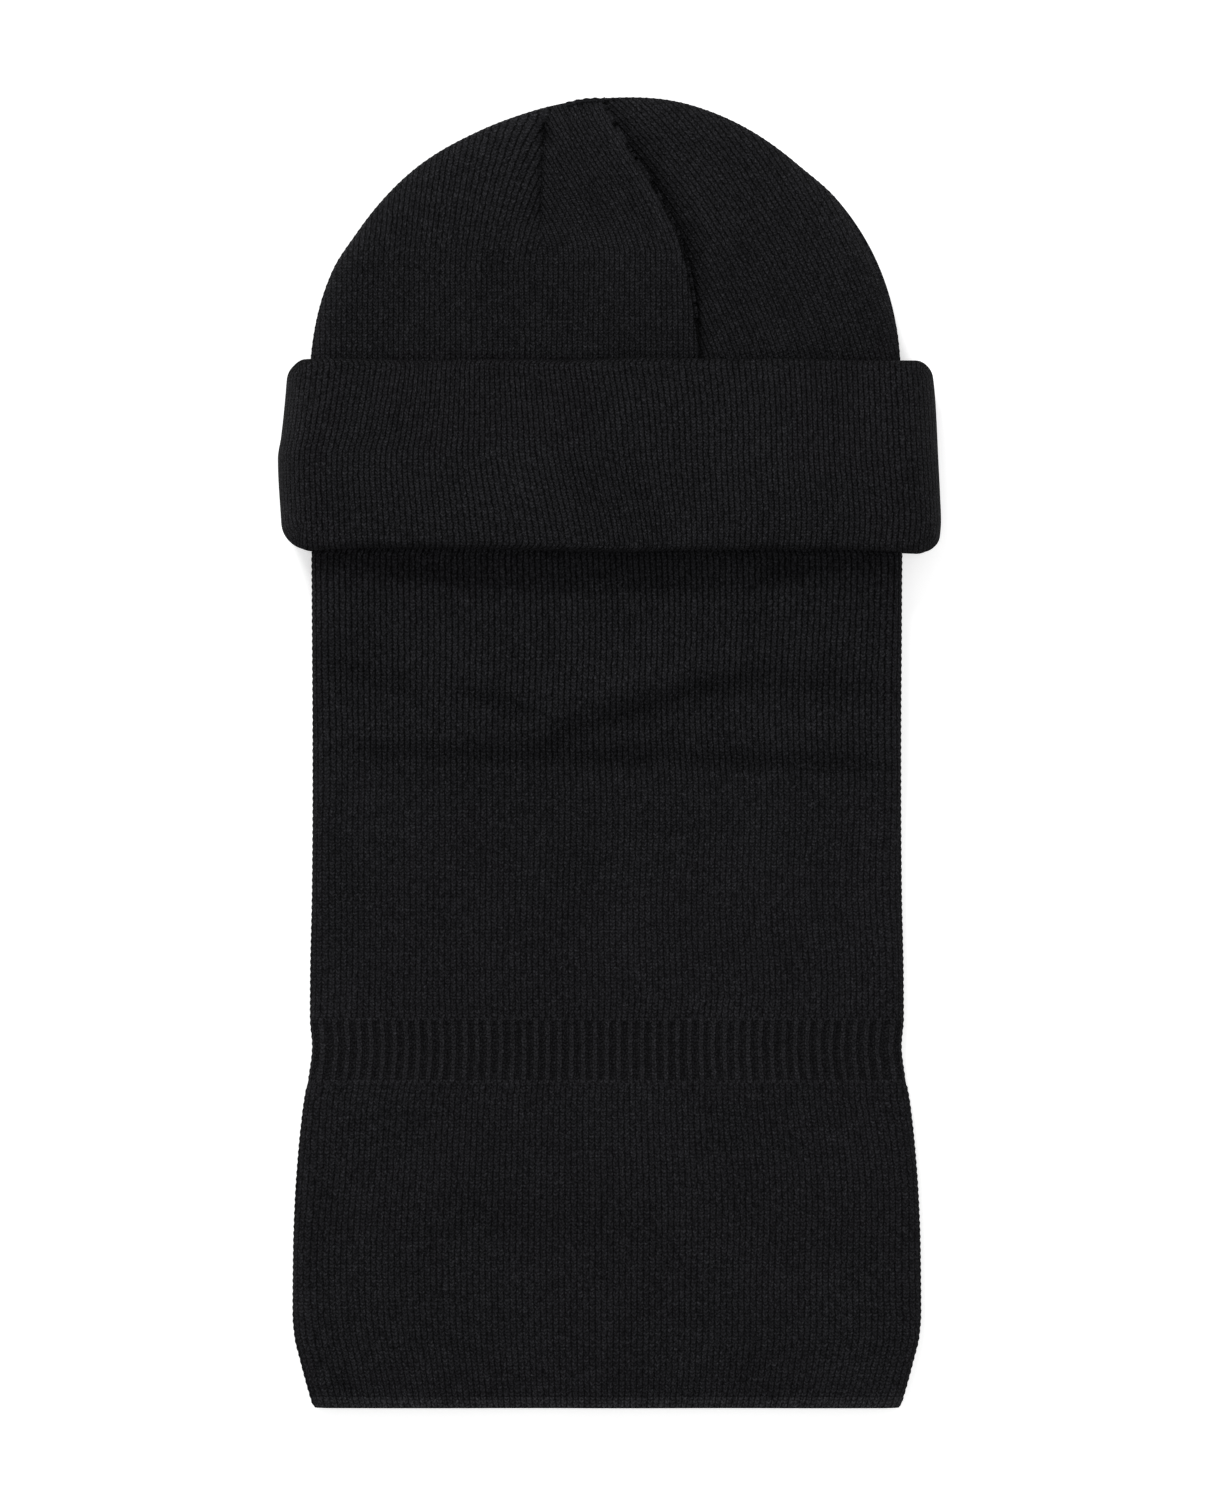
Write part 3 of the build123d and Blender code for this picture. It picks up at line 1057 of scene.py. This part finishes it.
def left_stitches(x, y):
    """Wales that lean towards the dart, more the higher and the nearer they are."""
    up = np.maximum(y - apex_y + 66, 0)
    lean = 0.4 * up**2 / (up + 14)
    reach = np.exp(-np.maximum(smooth_line(dart_line, y) - x, 0) / 26)
    wale = x - lean * (0.2 + 0.8 * reach) - ripple(x, y, 90, 41)
    return wale, y + 0.3 * (x + 26) * ease((y - chevron_y) / 40)


def middle_stitches(x, y):
    """Wales that run beside the dart at its end and beside the pleat at the other."""
    pleat_x, dart_x = smooth_line(pleat_line, y), smooth_line(dart_line, y)
    share = np.clip((x - dart_x) / np.maximum(pleat_x - dart_x, 1), 0, 1)
    up = np.maximum(y - apex_y + 59, 0)
    by_dart, by_pleat = 0.62 * up**2 / (up + 9), np.maximum(27.6 - pleat_x, 0)
    wale = x + (1 - share) * by_dart + share * by_pleat + ripple(x, y, 70, 42) * 0.5
    return wale, y - 0.4 * (x - pleat_x) * ease((y - chevron_y - 1) / 40)


def right_stitches(x, y):
    """Wales that slant up to the left and end on the pleat."""
    beside = x - smooth_line(pleat_line, y)
    up = np.maximum(y - cuff_top_y + 12, 0)
    slant = 0.3 * up + 0.0028 * up**2
    return x + slant * (1 - 0.0035 * beside), y - 0.32 * beside


crown_bm = bmesh.new()
gore_rows = 150
gore(crown_bm, 72, gore_rows, lambda t: crown_edge(t, -1, gather_left), dart_edge, 0.85, left_stitches)
gore(crown_bm, 66, gore_rows, dart_edge, pleat_edge, 0.6, middle_stitches)
gore(crown_bm, 84, gore_rows, pleat_edge, front_right_edge, 1.7, right_stitches)
crown_front = make_piece(crown_bm, "crown_front_panel", "crown_knit", "beanie", ["crown_front"])


def crown_back_place(s, t):
    x0, y0 = crown_edge(t, -1, math.pi / 2)
    x1, y1 = crown_edge(t, 1, math.pi / 2)
    x, y = x0 + (x1 - x0) * s, y0 + (y1 - y0) * s
    z, _ = crown_surface(x, y, front=False)
    return rows_of(x, y, z)


crown_back = grid_piece(
    "crown_back_panel", "crown_knit", "beanie", ["crown_back"], 110, 90, crown_back_place,
    lambda s, t, p: rows_of(p[:, 0] / crown_wale, p[:, 1] / crown_course), flip=True,
)

# %% [markdown]
# ## The turned-up cuff
# The cuff is a band folded double and turned up, so it is the thickest thing here: two plies with a
# round fold at each edge. Seen from above it is a rectangle with soft corners, and its ends wrap down
# round the sides. Each ply is a grid over that outline whose height falls away as a quarter round at the
# border.

# %% Outline of the cuff
cuff_half = cuff_high[0] + 0.6
cuff_right_line = [
    (fold_y, cuff_half - 1.0),
    (fold_y + 13, cuff_half + 0.2),
    (fold_y + 21, cuff_half - 0.1),
    (fold_y + 36, cuff_half - 0.8),
    (fold_y + 58, cuff_half - 1.9),
    (cuff_top_y, cuff_half - 3.4),
]
cuff_left_line = [
    (fold_y, cuff_half - 2.0),
    (fold_y + 13, cuff_half - 0.9),
    (fold_y + 36, cuff_half + 0.3),
    (fold_y + 44, cuff_half - 0.9),
    (fold_y + 58, cuff_half - 2.4),
    (cuff_top_y, cuff_half - 3.6),
]


def cuff_edges(x):
    """The wavy lower fold and free edge of the cuff."""
    sag = [(-125, -0.4), (-93, 0.9), (-45, 0.6), (4, -0.6), (30, 0.2), (77, 0.5), (125, -0.9)]
    low = fold_y + smooth_line(sag, x)
    top = cuff_top_y - 0.5 + 0.4 * np.sin(x / 27 + 0.6) + 0.25 * np.sin(x / 9)
    return low, top


def corner_radius(x, y):
    """The cuff's lower corners are rounder than its upper ones, and the left one most."""
    lower = y < (fold_y + cuff_top_y) / 2
    return np.where(lower, np.where(x < 0, 11.8, 7.8), 7.0)


def round_corner(x, y, low_x, high_x, low_y, high_y):
    """Pulls the corners of a rectangle of points in to quarter circles."""
    radius = corner_radius(x, y)
    rx = np.clip(radius - np.minimum(x - low_x, high_x - x), 0, radius)
    ry = np.clip(radius - np.minimum(y - low_y, high_y - y), 0, radius)
    pull = np.maximum(rx, ry) / np.maximum(np.hypot(rx, ry), 1e-6)
    pull = np.where(rx * ry > 0, pull, 1.0)
    toward_x = np.where(x - low_x < high_x - x, 1, -1)
    toward_y = np.where(y - low_y < high_y - y, 1, -1)
    return x + toward_x * rx * (1 - pull), y + toward_y * ry * (1 - pull)


def even_out(share, length, radius):
    """Spreads points evenly over a length that ends in quarter rounds: the distance from its start."""
    corner = math.pi / 2 * radius
    total = 2 * corner + length - 2 * radius
    run = share * total
    near = np.clip(run / corner, 0, 1) * math.pi / 2
    far = np.clip((total - run) / corner, 0, 1) * math.pi / 2
    middle = np.clip(run - corner, 0, length - 2 * radius)
    return radius * (1 - np.cos(near)) + middle + radius * np.cos(far)

# %% [markdown]
# The front of the cuff is two plies whose ends wrap down round the sides. Points are spread by the length
# of the cloth and not by X and Y, so the wales keep their distance where the cuff rolls over.

# %% Front plies of the cuff
cuff_wales, cuff_courses = 128, 62
cuff_merge = 0.16  # the grid crowds at the cuff's corners, so its points are joined from further off
roll = (cuff_high[2] - cuff_under[2]) / 2
wrap_round = 15.0
wrap_drop = cuff_high[2] - wrap_low[2] - 0.4


def cuff_relief(x, y):
    """A gentle swelling along the cuff, with the unevenness of a soft double band."""
    across = (y - (fold_y + cuff_top_y) / 2) / (cuff_top_y - fold_y)
    return ripple(x, y, 70, 51) * 0.5 + ripple(x, y, 30, 52) * 0.16 + 0.9 * (1 - (2 * across) ** 2)


def cuff_lean(x, y):
    """How far the wales lean aside: to the right at the left end, to the left low in the middle."""
    up = y - (fold_y + cuff_top_y) / 2
    at_left = 0.13 * up * bell(x + 92, 26) * ease((up + 20) / 30)
    in_middle = -0.16 * up * bell(x + 8, 44)
    return at_left + in_middle + ripple(x, y, 60, 53) * 0.9


def cuff_outline(s, t, inset, end_round):
    """Points spread over the cuff's outline, with how far each is from its ends and its long edges."""
    length, reach = cuff_top_y - fold_y, 2 * cuff_half
    along = even_out(t, length, roll) / length
    y = fold_y + along * length
    left, right = inset - smooth_line(cuff_left_line, y), smooth_line(cuff_right_line, y) - inset
    x = left + even_out(s, reach, end_round) / reach * (right - left)
    low, top = cuff_edges(x)
    y = low + along * (top - low)
    x, y = round_corner(x, y, left, right, low, top)
    return x, y, np.minimum(x - left, right - x), np.minimum(y - low, top - y)


def cuff_ply(name, nodes, inset, level, drop, wrap, away, thick):
    """A ply whose ends wrap down. level is its flat height, and away is 1 on top and -1 underneath."""

    def place(s, t):
        x, y, inside_x, inside_y = cuff_outline(s, t, inset, wrap)
        ends, lips = quarter_round(inside_x, wrap), quarter_round(inside_y, roll)
        inner = ends * lips
        z = level - drop * (1 - ends) - away * roll * (1 - lips)
        z = z + away * wale_relief(s * cuff_wales, 0.32) * inner + cuff_relief(x, y) * inner
        return rows_of(x + cuff_lean(x, y) * inner, y, z)

    # Painted shade in the creases along the cuff's free top edge and along its lower fold.
    def painted_crease_shade(s, t, points):
        low, top = cuff_edges(points[:, 0])
        below_top, above_fold = top - points[:, 1], points[:, 1] - low
        return 0.42 * ease((2.8 - below_top) / 3) + 0.25 * ease((2.6 - above_fold) / 3)

    return grid_piece(
        name, "cuff_knit", "cuff_front", nodes, cuff_wales * 4, 66, place,
        counted(cuff_wales, cuff_courses), away < 0, {"painted_shade": painted_crease_shade}, thick=thick, merge=cuff_merge,
    )


cuff_outer = cuff_ply(
    "cuff_front_outer_ply", ["cuff_front_outer", "cuff_wrap_left", "cuff_wrap_right"],
    inset=0.0, level=cuff_high[2] - 0.6, drop=wrap_drop - 0.6, wrap=wrap_round, away=1, thick=2.0,
)
cuff_inner = cuff_ply(
    "cuff_front_inner_ply", ["cuff_front_inner"],
    inset=4.6, level=cuff_under[2] - 0.3, drop=wrap_drop - 5.6, wrap=10.5, away=-1, thick=1.6,
)

# %% [markdown]
# The back of the cuff lies under the garment, pressed flat by its weight, so its two plies are plain
# pads that meet round their border.

# %% Back plies of the cuff
pad_middle = (pad_low[2] + pad_top[2]) / 2
pad_wales = 110


def flat_ply(name, node, level, inset, away):
    """A plain ply at the back: a soft-cornered pad that bulges from its middle height to its level."""

    def place(s, t):
        x, y, inside_x, inside_y = cuff_outline(s, t, inset, roll)
        rise = quarter_round(np.minimum(inside_x, inside_y), roll)
        wales = away * wale_relief(s * pad_wales, 0.2)
        z = pad_middle + (level - pad_middle) * rise + wales * rise
        return rows_of(x, y, z)

    return grid_piece(
        name, "cuff_knit", "cuff_back", [node], pad_wales * 4, 40, place,
        counted(pad_wales, cuff_courses), away < 0, thick=1.2, merge=cuff_merge,
    )


cuff_back_outer = flat_ply("cuff_back_outer_ply", "cuff_back_outer", level=0.2, inset=0.5, away=-1)
cuff_back_inner = flat_ply(
    "cuff_back_inner_ply", "cuff_back_inner", level=pad_top[2] - 0.1, inset=0.9, away=1
)

# %% [markdown]
# ## Seams, darts and the gather
# Panels of knit are joined by linking, a row of loops that shows as a thin raised cord. A curve with a
# bevel would give a smooth wire, so each seam is a grid rolled into a tube along its route, thinned to
# nothing at its ends, with a swelling for every loop.

# %% Linked seams
def linked_seam(name, node, body, route, half_wide, half_tall, loop=2.6, slot="linking_yarn"):
    """A cord of loops along route(t), with an oval section that tapers at both ends."""
    around, row_length, step = 10, 0.7, 0.004
    chords = np.diff(rows_of(*route(np.linspace(0, 1, 60))), axis=0)
    length = np.sqrt((chords**2).sum(axis=1)).sum()
    rows = max(int(length / row_length), 8)

    def place(s, t):
        here = rows_of(*route(t))
        ahead = rows_of(*route(np.clip(t + step, 0, 1)))
        behind = rows_of(*route(np.clip(t - step, 0, 1)))
        along = ahead - behind
        along /= np.linalg.norm(along, axis=1, keepdims=True)
        aside = np.cross(along, [0, 0, 1.0])
        aside /= np.maximum(np.linalg.norm(aside, axis=1, keepdims=True), 1e-6)
        up = np.cross(aside, along)
        taper = quarter_round(np.minimum(t, 1 - t) * length, 2.0)
        turn = 2 * math.pi * s
        swell = taper * (1 + 0.16 * np.sin(2 * math.pi * (t * length / loop) + turn))
        wide, tall = half_wide * swell * np.cos(turn), half_tall * swell * np.sin(turn)
        return here + aside * wide[:, None] + up * tall[:, None]

    bm = bmesh.new()
    add_patch(bm, around, rows, place, lambda s, t, p: rows_of(s * 3, t * length / 1.4))
    bmesh.ops.remove_doubles(bm, verts=bm.verts, dist=touching * MM)
    bmesh.ops.recalc_face_normals(bm, faces=bm.faces)
    return make_piece(bm, name, slot, body, [node], thick=0)


def tube_seam(side, low, high):
    """The line where the front and back panels of the tube meet, with its ends at two heights along Y."""

    def route(t):
        y = low + t * (high - low)
        left, right, middle = tube_sides(y)
        edge = left if side < 0 else right
        return edge - side * 0.75, y, middle

    return route


def crown_seam(side, last):
    def route(t):
        x, y = crown_edge(t, side, last)
        _, _, middle = crown_levels(y)
        across, up = x - crown_shift, np.maximum(y - cuff_top_y, 0)
        inset = 0.9 + (crown_inset(y) * 0.6 if side > 0 else 0)
        keep = 1 - inset / np.hypot(across, up)
        return crown_shift + across * keep, y - up * (1 - keep), middle

    return route


for word, side, tip in (("left", -1, gather_left), ("right", 1, gather_right)):
    side_seams = [
        (f"crown_side_seam_{word}", "beanie", crown_seam(side, tip), 1.3),
        (f"neck_side_seam_{word}", across_fold, tube_seam(side, rib_low_y, tuck_y), 1.2),
        (f"skirt_side_seam_{word}", across_fold, tube_seam(side, hem_y + 0.2, rib_low_y), 1.2),
    ]
    for node, body, route, half_tall in side_seams:
        linked_seam(node + "_cord", node, body, route, 0.9, half_tall)

# %% [markdown]
# The darts close the crown. Their linked seams lie on the inside, under the furrow and the pleat that
# they make on the front, and the back panel has two of the same kind. At the very tip the last loops are
# drawn together into a small flat gather.

# %% Darts and gather
def dart_route(line, low, high, front):
    def route(t):
        y = low + t * (high - low)
        x = smooth_line(line, y)
        z, _ = crown_surface(x, y, front)
        inside = yarn_wall + 0.3
        return x, y, z + crown_relief(x + 1.6, y) - inside if front else z + inside

    return route


back_dart = [(apex_y - 51.5, 26.4), (apex_y - 35, 25.6), (apex_y - 15, 23.2)]
mirrored = [(y, -x) for y, x in back_dart]
darts = [
    ("dart_seam_front_left", dart_route(dart_line, apex_y - 52, apex_y - 9, True)),
    ("dart_seam_front_right", dart_route(pleat_line, apex_y - 61, apex_y - 12, True)),
    ("dart_seam_back_left", dart_route(mirrored, apex_y - 51, apex_y - 15, False)),
    ("dart_seam_back_right", dart_route(back_dart, apex_y - 51, apex_y - 15, False)),
]
for node, route in darts:
    linked_seam(node + "_cord", node, "beanie", route, 0.45, 0.4, loop=1.8)


def gather_route(t):
    x = -18.0 + 16.5 * t
    y = apex_y - 1.0 - 0.014 * (x + 5) ** 2
    _, _, middle = crown_levels(y)
    return x, y, middle + 0.6 + 0 * t


linked_seam("crown_tip_gather_loops", "crown_tip_gather", "beanie", gather_route, 1.2, 2.3, loop=3.4)

# %% [markdown]
# ## Inside the cuff
# The neck tube's top is out of sight. Its front edge is the face opening, finished with a narrow welt of
# doubled rib, and its back edge is linked to the beanie. A small folded care label is sewn in there. It
# stays blank.

# %% Welt, linking seam and label
tuck_half = box_mm("face_edge_welt")[1][0] - 1.0


def level_route(node):
    """A straight route across the tube through the middle of a node's box."""
    low, high = box_mm(node)
    middle = (low + high) / 2

    def route(t):
        x = -tuck_half + 2 * tuck_half * t
        return x, middle[1] + 0 * t, middle[2] + 0.15 * np.sin(x / 17)

    return route


linked_seam(
    "face_edge_welt_roll", "face_edge_welt", "beanie", level_route("face_edge_welt"),
    2.3, 0.95, loop=3.2, slot="rib_knit",
)
linked_seam(
    "neck_linking_seam_cord", "neck_linking_seam", "beanie", level_route("neck_linking_seam"),
    1.6, 0.9, loop=2.4,
)

label_low, label_high = box_mm("care_label")


def label_place(s, t):
    """A strip folded in half at its lower end, with its two ends sewn into the seam."""
    size = label_high - label_low
    down = 1 - np.abs(2 * t - 1)
    x = label_low[0] + s * size[0]
    y = label_high[1] - 0.4 - down * (size[1] - 0.8)
    gap = 0.55 * np.sqrt(np.maximum(1 - down**6, 0))
    curl = 0.25 * np.sin(2.6 * s + 2.2 * down) * down
    z = label_low[2] + 0.8 + np.where(t < 0.5, -0.5, 0.5) * gap + curl
    return rows_of(x, y, z)


label = grid_piece(
    "care_label_blank", "label_tape", "beanie", ["care_label"], 24, 60, label_place,
    counted(40, 80), thick=0.22, merge=0.001,
)

# %% [markdown]
# ## Every sheet and its flat size
# A knit panel is a sheet: it has a width and a length before it is joined. The flat widths are the
# tube's widths plus what rolls over the edges, and the lengths come from the places along Y.

# %% Flat sizes of the knit
tube_length = tuck_y - rib_top_y
neck_flat = 2 * neck_half + 6
skirt_flat = 2 * skirt_half + 4
sheets = [
    (crown_front, (240, apex_y - crown_low[1] + 2), 34_800, "laid", [crown_back]),
    (crown_back, (236, apex_y - crown_low[1] + 1), 34_000, "laid", []),
    (neck_front, (neck_flat, tube_length + 3), None, "laid", [neck_back]),
    (neck_back, (neck_flat, tube_length + 1), None, "laid", []),
    (rib_front, (neck_flat, rib_top_y - rib_low_y), None, "laid", [rib_back]),
    (rib_back, (neck_flat, rib_top_y - rib_low_y), None, "laid", []),
    (skirt_front, (skirt_flat, rib_low_y - hem_top_y + 1), None, "laid", [skirt_back]),
    (skirt_back, (skirt_flat, rib_low_y - hem_top_y + 1), None, "laid", []),
    (cuff_outer, (266, 77), None, "folded", [cuff_inner]),
    (cuff_inner, (258, 77), None, "folded", [crown_front]),
    (cuff_back_outer, (252, 74), None, "folded", []),
    (cuff_back_inner, (252, 74), None, "folded", [cuff_back_outer]),
    (label, (label_high[0] - label_low[0], 2 * (label_high[1] - label_low[1])), None, "folded", []),
]
for sheet, size, area, held, under in sheets:
    edge = {skirt_front: [hem_front], skirt_back: [hem_back]}.get(sheet, [])
    area = None if area is None else area * MM**2
    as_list(under)
    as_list(edge)
    print(sheet.name, "is cut", [round(v) for v in size], "mm")
